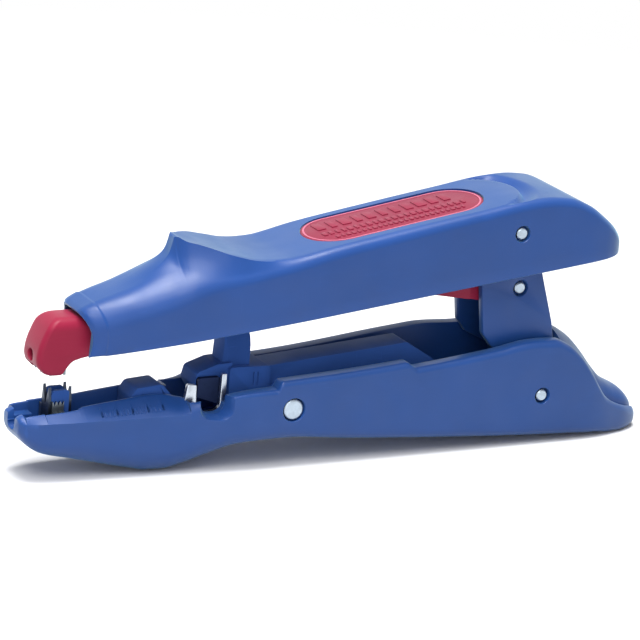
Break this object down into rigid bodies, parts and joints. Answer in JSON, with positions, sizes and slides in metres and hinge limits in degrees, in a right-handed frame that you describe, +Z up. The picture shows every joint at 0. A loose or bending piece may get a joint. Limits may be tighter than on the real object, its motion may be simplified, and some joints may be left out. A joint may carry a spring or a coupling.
{
  "type": "wire stripper crimper",
  "caption": "Hand tool with a hinged handle over a trough body, jaws that strip and crimp wire at the front, a side cutter and a sliding length stop.",
  "frame": {"origin": "under the middle of the tool, on the surface it rests on", "axes": "+X from the jaws to the tail, +Y across the tool to its left side seen from the tail, +Z up"},
  "size_m": [0.175, 0.028, 0.0656],
  "materials": {
    "body_blue": "satin moulded",
    "handle_blue": "satin moulded",
    "label_red": "fine raised pattern",
    "jaw_red": "satin moulded",
    "dark_blue": "satin moulded",
    "blade_steel": "ground",
    "die_steel": "hardened, satin",
    "spring_steel": "drawn wire",
    "pin_steel": "bright turned"
  },
  "bodies": {
    "body": {"lower_body": "body_blue", "rear_post": "body_blue", "post_pin": "pin_steel", "jaw_pin": "pin_steel", "lever_pin": "pin_steel", "blade_holder": "dark_blue", "front_blade": "blade_steel", "rear_blade": "blade_steel", "crimp_die": "die_steel", "cutter_anvil": "blade_steel", "return_spring": "spring_steel"},
    "handle": {"handle_cover": "handle_blue", "label_plate": "label_red", "handle_pin": "pin_steel"},
    "jaw": {"jaw_lever": "jaw_red", "crimp_punches": "die_steel", "upper_blade": "blade_steel", "jaw_spring": "spring_steel"},
    "cutter": {"cutting_lever": "dark_blue", "cutter_blade": "blade_steel", "lever_rollers": "pin_steel", "roller_pin": "pin_steel"},
    "stop": {"length_stop": "dark_blue"}
  },
  "joints": [
    {"name": "handle_hinge", "type": "hinge", "parent": "body", "child": "handle", "pos_m": [0.043, 0, 0.0569], "axis": [0, -1, 0], "range_deg": [0, 4.2], "stiffness_Nm_per_rad": 4, "springref_deg": -1.43},
    {"name": "jaw_hinge", "type": "hinge", "parent": "body", "child": "jaw", "pos_m": [0.0476, 0, 0.0405], "axis": [0, -1, 0], "range_deg": [0, 3.87]},
    {"name": "cutter_hinge", "type": "hinge", "parent": "body", "child": "cutter", "pos_m": [-0.0174, 0, 0.015], "axis": [0, -1, 0], "range_deg": [0, 18.95], "deforming": ["return_spring"]},
    {"name": "stop_slide", "type": "slide", "parent": "body", "child": "stop", "axis": [-1, 0, 0], "range_m": [0, 0.011]}
  ],
  "couplings": [
    {"joint": "jaw_hinge", "follows": "handle_hinge", "ratio": 0.92},
    {"joint": "cutter_hinge", "follows": "handle_hinge", "ratio": 4.5}
  ]
}
